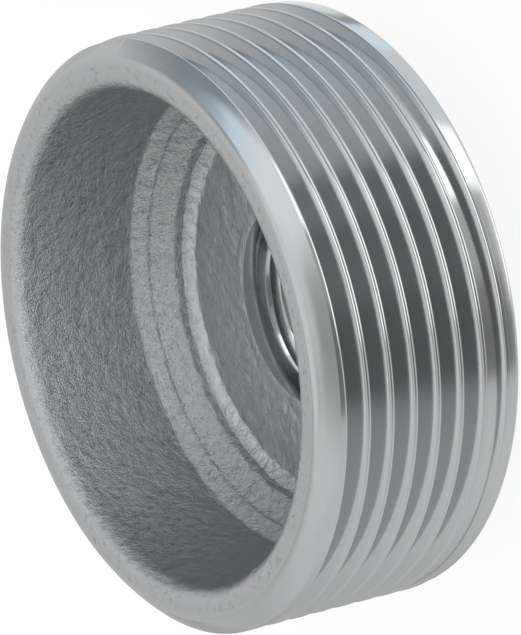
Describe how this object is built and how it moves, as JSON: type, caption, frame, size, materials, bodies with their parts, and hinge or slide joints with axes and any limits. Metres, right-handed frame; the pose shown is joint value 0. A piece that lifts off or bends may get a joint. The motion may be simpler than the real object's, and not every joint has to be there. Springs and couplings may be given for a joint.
{
  "type": "pipe bushing",
  "caption": "Reducing pipe bushing: taper thread outside an open cast cavity, and a smaller threaded hole through the hexagon head.",
  "frame": {"origin": "centre of the head's flat face, which the part stands on", "axes": "+Z along the common axis of both threads, from the head to the open cavity; two flats of the head are square to Y"},
  "size_m": [0.0728, 0.0728, 0.0363],
  "materials": {
    "bushing": "galvanised malleable iron, as cast in the cavity and bright where it is machined"
  },
  "bodies": {
    "root": {"bushing": "bushing"}
  },
  "joints": []
}
